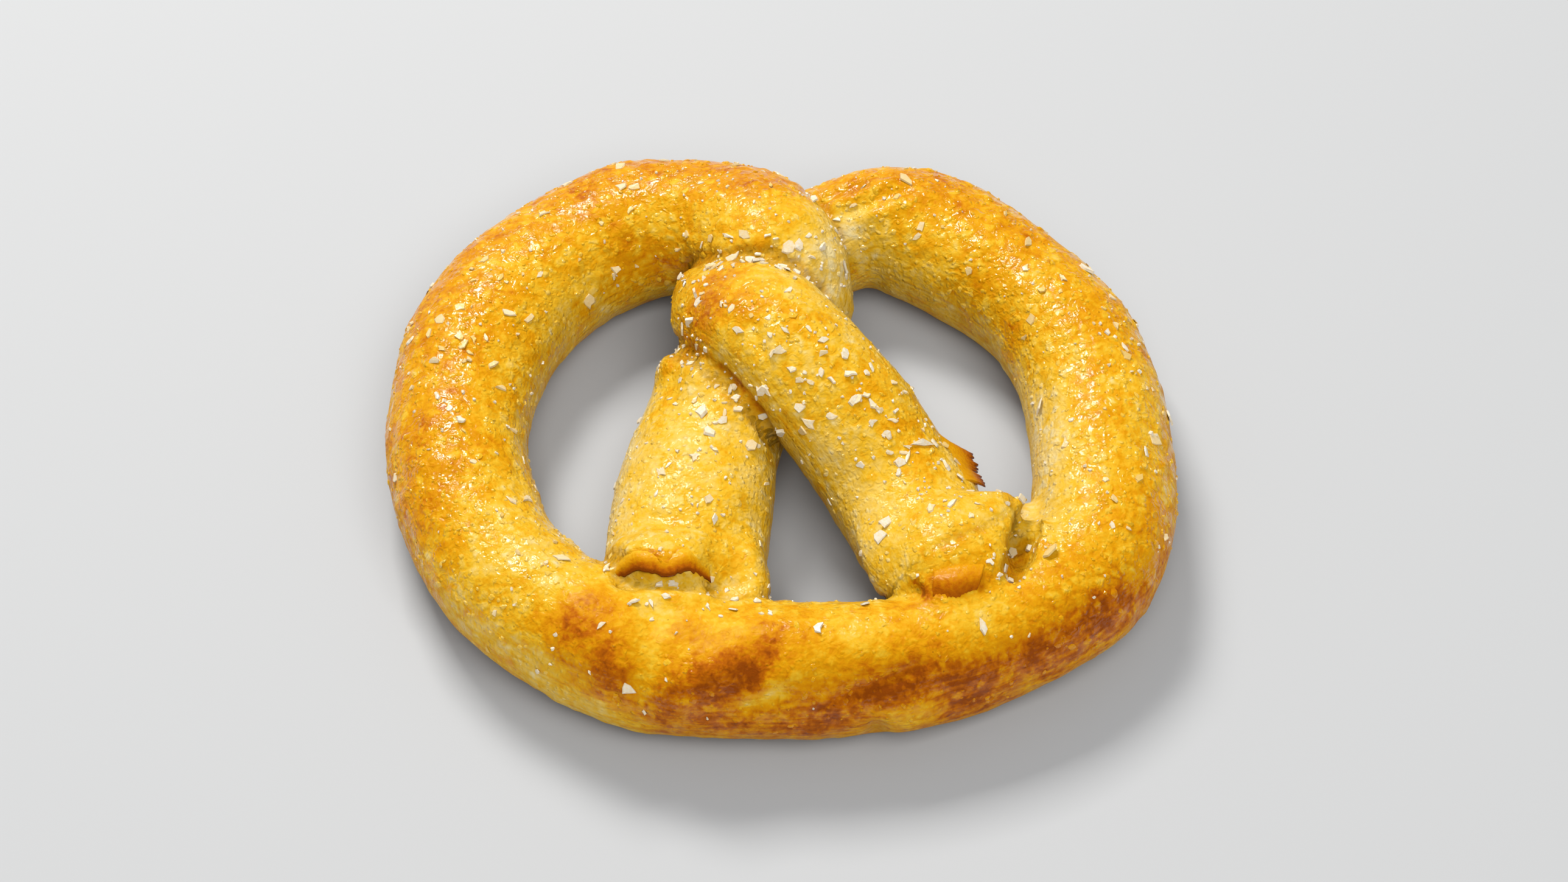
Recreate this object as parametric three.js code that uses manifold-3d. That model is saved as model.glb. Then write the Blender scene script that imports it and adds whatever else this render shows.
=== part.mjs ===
// A soft pretzel: one rope of dough laid in a ring, its two arms crossed twice at the top and their
// ends pressed onto the belly. Millimetres, +Z up. The belly faces -Y, the pretzel lies on z = 0, and
// the origin is on that plane, under the middle of its outline.
import * as THREE from "three";
import { mergeVertices } from "three/addons/utils/BufferGeometryUtils.js";
import Module from "manifold-3d";

const wasm = await Module();
wasm.setup();

// The plain rope of dough, and how it lies on the baking tray.
const ropeWidth = 25.5; // seen from above
const ropeHeight = 24; // of the full section, before the tray flattens its underside
const restHeight = 10.5; // of the rope's middle line above the tray
const ropeSides = 24; // facets round the rope
const ropeSpacing = 4.6; // from one section of the rope to the next
const domeLength = 6; // over which the rope's two ends round off
const trayReach = 200; // side of the block that stands for the tray
const weldDistance = 1e-3; // closer corners are one corner

// The ring: how far the rope's middle line lies from the ring's centre, every 30 degrees from the right
// shoulder, past the belly at 0 degrees, to the left shoulder, and how thick the rope is there.
const ring = {
  startAngle: -150,
  angleStep: 30,
  reach: [55.4, 57.1, 57.7, 61.2, 55.7, 51.2, 54.8, 58.5, 59.7, 60.4, 58],
  swell: [1.06, 0.98, 1.03, 1, 0.88, 0.93, 0.99, 1, 1.03, 1.13, 1.1],
};

// The arms, from the ring's shoulder to the tip: where the middle line passes, and the rope's width and
// height there. The left arm crosses over the right one at the top, dives under it and comes to the belly
// on the left. The right arm goes under, turns up and over, and comes to the belly on the right.
const leftArm = [
  { at: [-14, 49.3, 13], wide: 27, tall: 24 },
  { at: [-6, 43, 18.5], wide: 26, tall: 22 },
  { at: [-0.8, 34, 20.5], wide: 25, tall: 20 },
  { at: [1.3, 27, 16.5], wide: 25, tall: 19 },
  { at: [-4, 18, 12], wide: 27, tall: 20 },
  { at: [-10.5, 9, 10.5], wide: 27, tall: 21 },
  { at: [-14.2, -3, 10.5], wide: 27, tall: 23 },
  { at: [-15.8, -14, 11.5], wide: 29, tall: 23 },
  { at: [-17, -26, 12.5], wide: 29.5, tall: 21 },
  { at: [-17.5, -36, 15], wide: 28, tall: 15 },
  { at: [-17.5, -42, 16.5], wide: 25, tall: 11 },
];
const rightArm = [
  { at: [16, 51, 11], wide: 24, tall: 22 },
  { at: [6, 46.5, 9.5], wide: 23, tall: 18 },
  { at: [-4, 36, 10], wide: 23, tall: 19 },
  { at: [-9.2, 25.5, 16.5], wide: 25, tall: 21 },
  { at: [-1.6, 13, 24.5], wide: 25, tall: 21 },
  { at: [10.8, -1, 19], wide: 25, tall: 22 },
  { at: [20.2, -14, 13], wide: 25.5, tall: 22 },
  { at: [26, -26, 14], wide: 26, tall: 19 },
  { at: [29.5, -35, 16], wide: 23, tall: 13 },
];

// Small folds of dough at the ends, each a short flat rope laid over what is already there.
const folds = [
  // left end: a lip rolled towards the belly, and a ridge pinched up beside it
  {
    squareness: 0.75,
    stations: [
      { at: [-31, -33, 18], wide: 8, tall: 5 },
      { at: [-23, -34.5, 22], wide: 10, tall: 5.5 },
      { at: [-13, -36.5, 21.5], wide: 10, tall: 5 },
    ],
  },
  {
    squareness: 1,
    stations: [
      { at: [-6.5, -27, 13], wide: 6, tall: 14 },
      { at: [-5.6, -34, 14.5], wide: 6.5, tall: 13 },
      { at: [-4.8, -42, 15], wide: 7, tall: 9 },
    ],
  },
  // right end: a flap folded over the arm, its curled near corner, and the dough that shows under it
  {
    squareness: 0.7,
    stations: [
      { at: [21.5, -33.5, 20], wide: 19, tall: 6 },
      { at: [31, -31.5, 22.5], wide: 21, tall: 6 },
      { at: [38.5, -26.5, 21.5], wide: 16, tall: 5.5 },
      { at: [43, -20.5, 20], wide: 9, tall: 4 },
    ],
  },
  {
    squareness: 0.85,
    stations: [
      { at: [24, -42.5, 19.5], wide: 7, tall: 6 },
      { at: [30, -41.5, 21], wide: 8, tall: 7 },
      { at: [36, -38, 20.5], wide: 7, tall: 6 },
    ],
  },
  {
    squareness: 1,
    stations: [
      { at: [33, -27, 11], wide: 12, tall: 13 },
      { at: [42, -26, 13], wide: 9, tall: 11 },
    ],
  },
  // a thin brim of crust along the right arm's far side
  {
    squareness: 0.8,
    stations: [
      { at: [26, -4, 13], wide: 7, tall: 3 },
      { at: [30, -10, 14], wide: 8, tall: 3.5 },
      { at: [33, -16, 15], wide: 8, tall: 4 },
    ],
  },
];
const foldSides = 14;
const foldSpacing = 3;
const foldDome = 3;

const skyward = new THREE.Vector3(0, 0, 1);

function ringStations() {
  return ring.reach.map((reach, i) => {
    const angle = THREE.MathUtils.degToRad(ring.startAngle + i * ring.angleStep);
    return {
      at: [-reach * Math.sin(angle), -reach * Math.cos(angle), restHeight],
      wide: ropeWidth * ring.swell[i],
      tall: ropeHeight,
    };
  });
}

// A point of a round section, from its middle: squareness 1 is an ellipse, less has fuller corners.
function sectionPoint(angle, squareness) {
  const bulge = (value) => Math.sign(value) * Math.abs(value) ** squareness;
  return [bulge(Math.cos(angle)) / 2, bulge(Math.sin(angle)) / 2];
}

// How much of its full size a section keeps at a distance from a rounded end.
function domeSize(distance, dome) {
  const inside = 1 - Math.min(1, distance / dome);
  return Math.sqrt(Math.max(0.04, 1 - inside * inside));
}

// A smooth rope through stations. Its sections come at set distances, closer together in its rounded ends.
class Rope {
  constructor(stations, { sides, spacing, dome, squareness = 1 }) {
    const middles = stations.map((station) => new THREE.Vector3(...station.at));
    const sizes = stations.map((station) => new THREE.Vector2(station.wide, station.tall));
    this.middle = new THREE.CatmullRomCurve3(middles, false, "centripetal");
    this.size = new THREE.SplineCurve(sizes);
    this.length = this.middle.getLength();
    this.sides = sides;
    this.squareness = squareness;
    this.dome = dome;
    this.distances = this.sectionDistances(spacing);
  }

  sectionDistances(spacing) {
    const near = [0, 0.08, 0.25, 0.55].map((share) => share * this.dome);
    const straight = this.length - 2 * this.dome;
    const count = Math.max(1, Math.round(straight / spacing));
    const even = Array.from({ length: count + 1 }, (_, i) => this.dome + (straight * i) / count);
    return [...near, ...even, ...near.toReversed().map((distance) => this.length - distance)];
  }

  section(distance) {
    const t = this.middle.getUtoTmapping(0, distance);
    const middle = this.middle.getPoint(t);
    const along = this.middle.getTangent(t);
    const across = new THREE.Vector3().crossVectors(along, skyward).normalize();
    const up = new THREE.Vector3().crossVectors(across, along).normalize();
    const size = this.size.getPoint(t);
    const scale = domeSize(distance, this.dome) * domeSize(this.length - distance, this.dome);
    return Array.from({ length: this.sides }, (_, i) => {
      const [right, high] = sectionPoint((2 * Math.PI * i) / this.sides, this.squareness);
      const corner = middle.clone();
      corner.addScaledVector(across, right * size.x * scale);
      return corner.addScaledVector(up, high * size.y * scale);
    });
  }

  // The closed solid from one section to another, both counted from the rope's start.
  solid(first = 0, last = this.distances.length - 1) {
    const rings = this.distances.slice(first, last + 1).map((distance) => this.section(distance));
    const corners = rings.flat();
    const triangles = [];
    for (let i = 0; i + 1 < rings.length; i++) {
      for (let j = 0; j < this.sides; j++) {
        const a = i * this.sides + j;
        const b = i * this.sides + ((j + 1) % this.sides);
        const [c, d] = [a + this.sides, b + this.sides];
        triangles.push(a, c, b, b, c, d);
      }
    }
    const end = (rings.length - 1) * this.sides;
    for (let j = 1; j + 1 < this.sides; j++) {
      triangles.push(0, j, j + 1);
      triangles.push(end, end + j + 1, end + j);
    }
    return solidOf(corners.flatMap((corner) => corner.toArray()), triangles);
  }
}

function solidOf(positions, triangles) {
  const mesh = new wasm.Mesh({
    numProp: 3,
    vertProperties: new Float32Array(positions),
    triVerts: new Uint32Array(triangles),
  });
  return new wasm.Manifold(mesh);
}

// One long rope crosses itself, so it is joined from three stretches that don't: the right arm,
// the ring and the left arm. Neighbours share one section's length.
function dough() {
  const stations = [...rightArm.toReversed(), ...ringStations(), ...leftArm];
  const rope = new Rope(stations, { sides: ropeSides, spacing: ropeSpacing, dome: domeLength });
  const last = rope.distances.length - 1;
  const armShare = 0.27;
  const cuts = [Math.round(last * armShare), Math.round(last * (1 - armShare))];
  return rope
    .solid(0, cuts[0] + 1)
    .add(rope.solid(cuts[0], cuts[1]))
    .add(rope.solid(cuts[1] - 1, last));
}

function foldSolid({ stations, squareness }) {
  return new Rope(stations, { sides: foldSides, spacing: foldSpacing, dome: foldDome, squareness }).solid();
}

function trayBlock() {
  const box = new THREE.BoxGeometry(trayReach, trayReach, trayReach);
  box.translate(0, 0, -trayReach / 2);
  box.deleteAttribute("normal");
  box.deleteAttribute("uv");
  const welded = mergeVertices(box, weldDistance);
  return solidOf(welded.attributes.position.array, welded.index.array);
}

// The geometry of a solid, moved so that the middle of its outline is over the origin.
function centredGeometry(solid) {
  const mesh = solid.getMesh();
  const geometry = new THREE.BufferGeometry();
  geometry.setAttribute("position", new THREE.BufferAttribute(mesh.vertProperties, 3));
  geometry.setIndex(new THREE.BufferAttribute(mesh.triVerts, 1));
  geometry.computeBoundingBox();
  const middle = geometry.boundingBox.getCenter(new THREE.Vector3());
  return geometry.translate(-middle.x, -middle.y, 0);
}

const baked = folds
  .map(foldSolid)
  .reduce((whole, fold) => whole.add(fold), dough())
  .subtract(trayBlock());

const crust = new THREE.MeshStandardMaterial({ color: 0xd99a2b, roughness: 0.45, metalness: 0 });
const pretzel = new THREE.Mesh(centredGeometry(baked), crust);
pretzel.name = "pretzel";

const part = new THREE.Group();
part.add(pretzel);
export default part;
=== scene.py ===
# A soft pretzel with a glazed golden crust, folded rope ends and flaky salt.
# Lengths in the dictionaries are millimetres; everything built is in metres, in the part's frame.
import math
import random

import bmesh
import bpy
import numpy as np
from mathutils import Matrix, Vector, noise
from mathutils.bvhtree import BVHTree


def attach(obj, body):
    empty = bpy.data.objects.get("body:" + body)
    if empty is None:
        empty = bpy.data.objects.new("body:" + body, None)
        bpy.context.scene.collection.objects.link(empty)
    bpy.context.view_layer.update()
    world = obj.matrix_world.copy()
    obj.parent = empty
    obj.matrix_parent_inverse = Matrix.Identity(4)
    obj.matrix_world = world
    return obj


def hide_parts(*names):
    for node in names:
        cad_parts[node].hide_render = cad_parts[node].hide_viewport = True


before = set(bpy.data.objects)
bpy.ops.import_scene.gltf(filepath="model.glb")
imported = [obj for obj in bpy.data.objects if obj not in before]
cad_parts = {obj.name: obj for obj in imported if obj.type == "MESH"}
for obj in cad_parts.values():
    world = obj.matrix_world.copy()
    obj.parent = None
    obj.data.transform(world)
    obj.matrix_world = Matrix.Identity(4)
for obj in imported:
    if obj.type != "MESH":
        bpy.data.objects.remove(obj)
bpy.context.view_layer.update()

mm = 0.001


def placed(name, data):
    # a new object in the scene
    thing = bpy.data.objects.new(name, data)
    bpy.context.collection.objects.link(thing)
    return thing


def aimAlong(thing, direction):
    thing.rotation_mode = "QUATERNION"
    thing.rotation_quaternion = direction.to_track_quat("-Z", "Y")


cameraSetup = {
    "elevation": 52,  # degrees above the table, looking at the belly
    "lens": 85,
    "sensor": 36,
    "distance": 676,
    "aim": (0.9, -0.9, 10),  # where it looks
}


def makeCamera():
    setup = cameraSetup
    lift = math.radians(setup["elevation"])
    back = Vector((0, -math.cos(lift), math.sin(lift)))
    lens = bpy.data.cameras.new("camera")
    lens.lens = setup["lens"]
    lens.sensor_width = setup["sensor"]
    lens.clip_start = 0.01
    lens.clip_end = 20
    camera = placed("camera", lens)
    camera.location = Vector(setup["aim"]) * mm + back * setup["distance"] * mm
    aimAlong(camera, -back)
    bpy.context.scene.camera = camera


lightSetup = {
    "sky": {"colour": (0.96, 0.985, 1.03), "strength": 0.25},
    "softboxes": [
        {"name": "softboxBehind", "place": (-0.32, 0.74, 0.88), "size": (0.45, 0.34), "watts": 11.2,
         "colour": (1.0, 0.985, 0.955), "shinesInGloss": True},
        {"name": "softboxFront", "place": (0.25, -0.7, 1.2), "size": (1.2, 1.0), "watts": 10.5,
         "colour": (1.0, 0.985, 0.955), "shinesInGloss": False},
    ],
}


def makeLights():
    world = bpy.data.worlds.new("studioSky")
    world.use_nodes = True
    background = world.node_tree.nodes["Background"]
    background.inputs["Color"].default_value = (*lightSetup["sky"]["colour"], 1)
    background.inputs["Strength"].default_value = lightSetup["sky"]["strength"]
    world.cycles_visibility.glossy = False  # the glaze mirrors only the softbox and the table
    bpy.context.scene.world = world
    for box in lightSetup["softboxes"]:
        light = bpy.data.lights.new(box["name"], "AREA")
        light.shape = "RECTANGLE"
        light.size, light.size_y = box["size"]
        light.energy = box["watts"]
        light.color = box["colour"]
        lamp = placed(box["name"], light)
        lamp.location = box["place"]
        lamp.visible_glossy = box["shinesInGloss"]
        aimAlong(lamp, -Vector(box["place"]))


tableSetup = {"size": 3000, "colour": (0.622, 0.63, 0.64), "roughness": 0.75}


def makeTable():
    half = tableSetup["size"] * mm / 2
    corners = [(-half, -half, 0), (half, -half, 0), (half, half, 0), (-half, half, 0)]
    mesh = bpy.data.meshes.new("table")
    mesh.from_pydata(corners, [], [(0, 1, 2, 3)])
    table = placed("table", mesh)
    paper = bpy.data.materials.new("tablePaper")
    paper.use_nodes = True
    shader = paper.node_tree.nodes["Principled BSDF"]
    shader.inputs["Base Color"].default_value = (*tableSetup["colour"], 1)
    shader.inputs["Roughness"].default_value = tableSetup["roughness"]
    shader.inputs["Specular IOR Level"].default_value = 0.2
    mesh.materials.append(paper)


makeCamera()
makeLights()
makeTable()
bpy.context.scene.view_settings.view_transform = "Standard"
print("camera, lights and table ready")


# The same stations as the part: x, y, z of the middle line, then the rope's width and height there.
ropeShape = {
    "centre": (0.925, -0.921),  # the ring's centre in the part's frame
    "restHeight": 10.5,
    "width": 25.5,
    "height": 24,
    "startAngle": -150,
    "angleStep": 30,
    "reach": [55.4, 57.1, 57.7, 61.2, 55.7, 51.2, 54.8, 58.5, 59.7, 60.4, 58],
    "swell": [1.06, 0.98, 1.03, 1, 0.88, 0.93, 0.99, 1, 1.03, 1.13, 1.1],
    "leftArm": [
        (-14, 49.3, 13, 27, 24), (-6, 43, 18.5, 26, 22), (-0.8, 34, 20.5, 25, 20),
        (1.3, 27, 16.5, 25, 19), (-4, 18, 12, 27, 20), (-10.5, 9, 10.5, 27, 21),
        (-14.2, -3, 10.5, 27, 23), (-15.8, -14, 11.5, 29, 23), (-17, -26, 12.5, 29.5, 21),
        (-17.5, -36, 15, 28, 15), (-17.5, -42, 16.5, 25, 11),
    ],
    "rightArm": [
        (16, 51, 11, 24, 22), (6, 46.5, 9.5, 23, 18), (-4, 36, 10, 23, 19),
        (-9.2, 25.5, 16.5, 25, 21), (-1.6, 13, 24.5, 25, 21), (10.8, -1, 19, 25, 22),
        (20.2, -14, 13, 25.5, 22), (26, -26, 14, 26, 19), (29.5, -35, 16, 23, 13),
    ],
}
lineSteps = 16  # of a smooth line between two given points


def ropeStations():
    shape = ropeShape
    ring = []
    for i, (reach, swell) in enumerate(zip(shape["reach"], shape["swell"])):
        angle = math.radians(shape["startAngle"] + i * shape["angleStep"])
        x, y = -reach * math.sin(angle), -reach * math.cos(angle)
        ring.append((x, y, shape["restHeight"], shape["width"] * swell, shape["height"]))
    stations = np.array(shape["rightArm"][::-1] + ring + shape["leftArm"], float)
    stations[:, 0] += shape["centre"][0]
    stations[:, 1] += shape["centre"][1]
    return stations * mm


def smoothLine(points, perSpan):
    # a curve through all the points, with even steps between each pair
    padded = np.vstack([2 * points[0] - points[1], points, 2 * points[-1] - points[-2]])
    steps = np.arange(perSpan)[:, None] / perSpan
    spans = []
    for p0, p1, p2, p3 in zip(padded, padded[1:], padded[2:], padded[3:]):
        a = 2 * p1
        b = p2 - p0
        c = 2 * p0 - 5 * p1 + 4 * p2 - p3
        d = -p0 + 3 * p1 - 3 * p2 + p3
        spans.append((a + b * steps + c * steps**2 + d * steps**3) / 2)
    return np.vstack(spans + [points[-1:]])


def gridLine(points, steps):
    # the same number of points from every row, however many it is drawn with
    line = smoothLine(np.array(points, float), lineSteps)
    length = np.concatenate([[0], np.cumsum(np.linalg.norm(np.diff(line, axis=0), axis=1))])
    marks = np.linspace(0, length[-1], steps)
    return np.stack([np.interp(marks, length, line[:, k]) for k in range(3)], axis=1)


class RopeLine:
    # samples of the middle line with their directions, sizes and distance from the right arm's tip
    def __init__(self):
        line = smoothLine(ropeStations(), lineSteps)
        self.middle = line[:, :3]
        self.half = line[:, 3:] / 2
        along = np.gradient(self.middle, axis=0)
        self.along = along / np.linalg.norm(along, axis=1)[:, None]
        across = np.cross(self.along, [0, 0, 1])
        self.across = across / np.linalg.norm(across, axis=1)[:, None]
        self.up = np.cross(self.across, self.along)
        steps = np.linalg.norm(np.diff(self.middle, axis=0), axis=1)
        self.distance = np.concatenate([[0], np.cumsum(steps)])

    # for each point on the crust: how far along the rope it is, and the angle round it, 90 degrees on top
    def coordinates(self, points, chunk=6000):
        leeway = 4 * mm  # this far off a section counts like a whole radius off its outline
        along = np.zeros(len(points))
        angle = np.zeros(len(points))
        for start in range(0, len(points), chunk):
            gap = points[start:start + chunk, None, :] - self.middle[None]
            off = np.abs(np.einsum("pki,ki->pk", gap, self.along))
            right = np.einsum("pki,ki->pk", gap, self.across) / self.half[:, 0]
            high = np.einsum("pki,ki->pk", gap, self.up) / self.half[:, 1]
            fit = np.abs(np.hypot(right, high) - 1) + off / leeway
            best = fit.argmin(axis=1)
            rows = np.arange(len(best))
            along[start:start + chunk] = self.distance[best]
            angle[start:start + chunk] = np.arctan2(high[rows, best], right[rows, best])
        return along, angle


rope = RopeLine()
print("rope is", round(rope.distance[-1] / mm), "mm long")


# Each sheet is rows of points from its far edge to its near edge, and its thickness.
endSheets = {
    "leftLip": {
        "thickness": 2.4,
        "rows": [
            [(-31.5, -31.5, 17.5), (-26, -30, 20.3), (-20, -29.5, 21.8), (-13, -31, 22)],
            [(-31.8, -34.5, 18.8), (-26, -33.3, 22.5), (-20, -33, 23.4), (-13, -35, 22.6)],
            [(-30.5, -37.4, 19.6), (-25.5, -36, 23.4), (-20, -36.4, 23.6), (-14, -38.4, 21.6)],
        ],
    },
    "rightFlap": {
        "thickness": 3.6,
        "rows": [
            [(21, -23, 20.2), (29, -21, 22), (37, -20.2, 22), (45.2, -20.2, 19.8)],
            [(20.5, -30, 22), (28.5, -28.5, 24.5), (36, -27.5, 24), (41, -26.5, 21.4)],
            [(20.5, -37.5, 21.5), (28, -38.8, 24.6), (34, -38, 24.4), (37.4, -35, 21.8)],
        ],
    },
    "rightTip": {
        "thickness": 5,
        "rows": [
            [(12.5, -25, 16), (18, -27, 20), (26, -28, 22)],
            [(15, -32, 14.5), (20, -34, 19), (28, -36, 22.5)],
            [(17.6, -37.4, 12), (20.6, -39.8, 16.5), (25.5, -42, 20), (31, -43, 21)],
        ],
    },
}
sheetSteps = 10  # of the grid between two points of a sheet
rimSteps = 4  # of the grid, from the rim to where a sheet has its full thickness


def addSheet(shape, rows, thickness):
    centre = np.array([*ropeShape["centre"], 0])
    fine = np.array([gridLine(row, 3 * sheetSteps + 1) for row in rows])
    fine = np.stack([smoothLine(fine[:, i], sheetSteps) for i in range(fine.shape[1])], axis=1)
    fine = (fine + centre) * mm
    rowsCount, columns = fine.shape[:2]
    normal = np.cross(np.gradient(fine, axis=1), np.gradient(fine, axis=0))
    normal /= np.linalg.norm(normal, axis=2)[:, :, None]
    normal[normal[:, :, 2] < 0] *= -1
    # the two faces meet at the rim and part over the first few steps
    r = np.minimum(np.arange(rowsCount), np.arange(rowsCount)[::-1])[:, None]
    c = np.minimum(np.arange(columns), np.arange(columns)[::-1])[None]
    rim = np.clip(np.minimum(r, c) / rimSteps, 0, 1)
    swell = np.sqrt(1 - (1 - rim) ** 2)[:, :, None] * thickness * mm / 2
    top, bottom = {}, {}
    for i in range(rowsCount):
        for j in range(columns):
            top[i, j] = shape.verts.new(fine[i, j] + normal[i, j] * swell[i, j])
            edge = r[i, 0] == 0 or c[0, j] == 0
            bottom[i, j] = top[i, j] if edge else shape.verts.new(fine[i, j] - normal[i, j] * swell[i, j])
    for i in range(rowsCount - 1):
        for j in range(columns - 1):
            corners = [(i, j), (i, j + 1), (i + 1, j + 1), (i + 1, j)]
            shape.faces.new([top[k] for k in corners])
            shape.faces.new([bottom[k] for k in corners[::-1]])


def addBall(shape, at, size):
    x, y = ropeShape["centre"]
    place = Matrix.Translation(Vector((at[0] + x, at[1] + y, at[2])) * mm)
    stretch = Matrix.Diagonal((*[s * mm for s in size], 1))
    bmesh.ops.create_icosphere(shape, subdivisions=4, radius=1, matrix=place @ stretch)


# What is pressed into the dough and stuck on it: place and half sizes.
doughMarks = {
    "hollows": [
        ((-21.5, -40.2, 22.2), (6.5, 1.5, 1.8)),  # under the left lip
        ((-27.5, -39.8, 21), (2.6, 1.8, 1.8)),
        ((43.6, -22.5, 22), (2.2, 3.4, 5.5)),  # the slit beside the right flap
        ((42.6, -28, 22), (2.5, 3.8, 6.5)),
        ((41.4, -33, 22), (2.4, 3.6, 6)),
        ((39.9, -37.5, 22), (2, 3, 4)),
    ],
    "knobs": [
        ((29.3, -34.5, 24.8), (2.6, 2.2, 2)),
        ((43, -25.5, 16), (2.4, 2.8, 3)),
        ((41.5, -21, 11.5), (5.5, 5, 5.5)),
        ((-16.9, 10.9, 12), (7.4, 7.5, 9)),  # the left arm's shoulder under the crossing
        ((-13.4, 6, 17), (6, 8, 7)),
        ((-9, -1, 16.5), (5.5, 7, 7.5)),
        ((-6.6, -6.5, 15), (4, 6, 6.5)),
        ((-19, -43.5, 18.6), (10, 4, 4)),  # what fills the step below the left lip
        ((-7.5, -42.3, 17.2), (6, 3.6, 3.4)),
    ],
}


crustShape = {
    "voxel": 0.76,
    "smoothing": 18,  # passes that turn the part's flat facets into one round surface
    "lumps": [(21, 0.75), (9, 0.32), (4.2, 0.14)],  # size across and height of the uneven dough
    "blisters": [(3.1, 0.42), (1.9, 0.3)],  # size across and height of the bubbles under the glaze
    "blistersLeast": 0.5,  # share of their height where there is no glaze
    "creaseGap": 25,  # touching stretches of rope this far apart along it make a crease
    "creaseDepth": 0.8,
    "creaseGain": 2.4,
    "creaseReach": 3,  # passes that spread a crease over its neighbours
    "shadeReach": 12,  # and its painted shade
    "drawnShade": 0.5,  # how dark the painted shade along a drawn crease is
    "flatBase": 3,  # below this height the dough keeps the tray's shape
}

# A stroke is two or more places along a line, then how far it reaches and how much it does.
# Here they are ridges (above 0) and grooves (below 0) in the dough, with their height.
doughStrokes = [
    # the belly, from left to right
    ((-32, -50, 22), (-29, -58, 18), 5, 0.9),
    ((-21, -48, 22), (-23.5, -60, 18), 3, -1.0),
    ((-4, -53, 22), (-11, -58.5, 20), 4.5, 0.8),
    ((-11, -58.5, 20), (-19, -62, 16), 4, 0.9),
    ((0.5, -61.5, 18), (-5, -63, 15), 1.6, -1.0),
    ((3, -59, 20), (-3, -62.5, 17), 2.4, 0.5),
    ((11, -62, 17), (20, -59.5, 19), 1.4, -0.8),
    ((20, -59.5, 19), (24, -57.5, 20), 1.2, -0.7),
    ((20, -63, 11.5), (24, -62, 11), 6, 0.9),
    ((17, -63, 9), (17, -62, 3), 1.8, -1.5),
    ((-28, -60, 15), (-28, -60.5, 14), 0.8, -0.8),
    ((30, -60, 14), (40, -57, 11), 7, -1.2),
    ((6, -55, 22), (13, -55, 22), 5, 0.5),
    ((34, -52, 21), (40, -47, 22), 4, -0.5),
    # wrinkles on the right shoulder
    ((8, 50, 19), (15, 52, 21.5), 1.4, -0.9),
    ((11, 48, 20), (20, 51, 22), 1.5, 0.7),
    ((13, 45.5, 20.5), (24, 49, 22), 1.4, -0.6),
    ((15.5, 43.5, 20.5), (28, 48, 22), 1.5, 0.6),
    # the right arm's bend and the left arm
    ((-5, 7, 33), (-3, 2.5, 32), 1.3, -0.7),
    ((-13, -30, 22), (-8, -22, 21), 3, 0.5),
    ((-24, -27, 21), (-10, -30, 22), 1.6, -0.5),
    # beside the right end's curl
    ((24, -42, 20.5), (27.5, -44.5, 21), 1.0, -0.8),
]

# The ends are pressed smooth onto the belly, so no crease shows here.
pressedEnds = [
    ((-30, -42, 20), (-6, -43, 20), 6, 0.75),
    ((22, -37, 22), (40, -29, 22), 8, 1.0),
    ((24, -43, 21), (36, -42, 21), 4, 0.6),
    ((-14, 6, 21), (-7, -3, 20), 4, 1.0),
]

# Creases drawn in along listed lines.
drawnCreases = [
    ((-17.5, 15.5, 19), (-13.1, 8.2, 23.6), (-9.8, 4, 24.6), (-7.4, 1, 24.6), (-5.1, -1.2, 24),
     (-3.2, -4, 22.5), (-1.2, -7.5, 18), 0.9, 1.5),
    ((24.6, -42, 21), (26, -44.5, 21), 1.0, 0.7),
    ((-8.5, -33, 20), (-8, -39, 19), (-6, -42, 18), 1.0, 0.4),
]


def applied(shell):
    # the shell's mesh with its modifiers applied; the shell itself is removed
    graph = bpy.context.evaluated_depsgraph_get()
    mesh = bpy.data.meshes.new_from_object(shell.evaluated_get(graph))
    bpy.data.objects.remove(shell)
    return mesh


def rawDough():
    dough = placed("doughSolid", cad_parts["pretzel"].data.copy())
    shape = bmesh.new()
    for at, size in doughMarks["hollows"]:
        addBall(shape, at, size)
    hollows = bpy.data.meshes.new("hollows")
    shape.to_mesh(hollows)
    shape.free()
    cutter = placed("hollows", hollows)
    cut = dough.modifiers.new("hollows", "BOOLEAN")
    cut.operation = "DIFFERENCE"
    cut.solver = "EXACT"
    cut.use_self = True
    cut.object = cutter
    carved = applied(dough)
    bpy.data.objects.remove(cutter)

    shape = bmesh.new()
    shape.from_mesh(carved)
    for sheet in endSheets.values():
        addSheet(shape, sheet["rows"], sheet["thickness"])
    for at, size in doughMarks["knobs"]:
        addBall(shape, at, size)
    joined = bpy.data.meshes.new("joined")
    shape.to_mesh(joined)
    shape.free()
    dough = placed("joined", joined)
    remesh = dough.modifiers.new("voxels", "REMESH")
    remesh.mode = "VOXEL"
    remesh.voxel_size = crustShape["voxel"] * mm
    return applied(dough)


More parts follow.
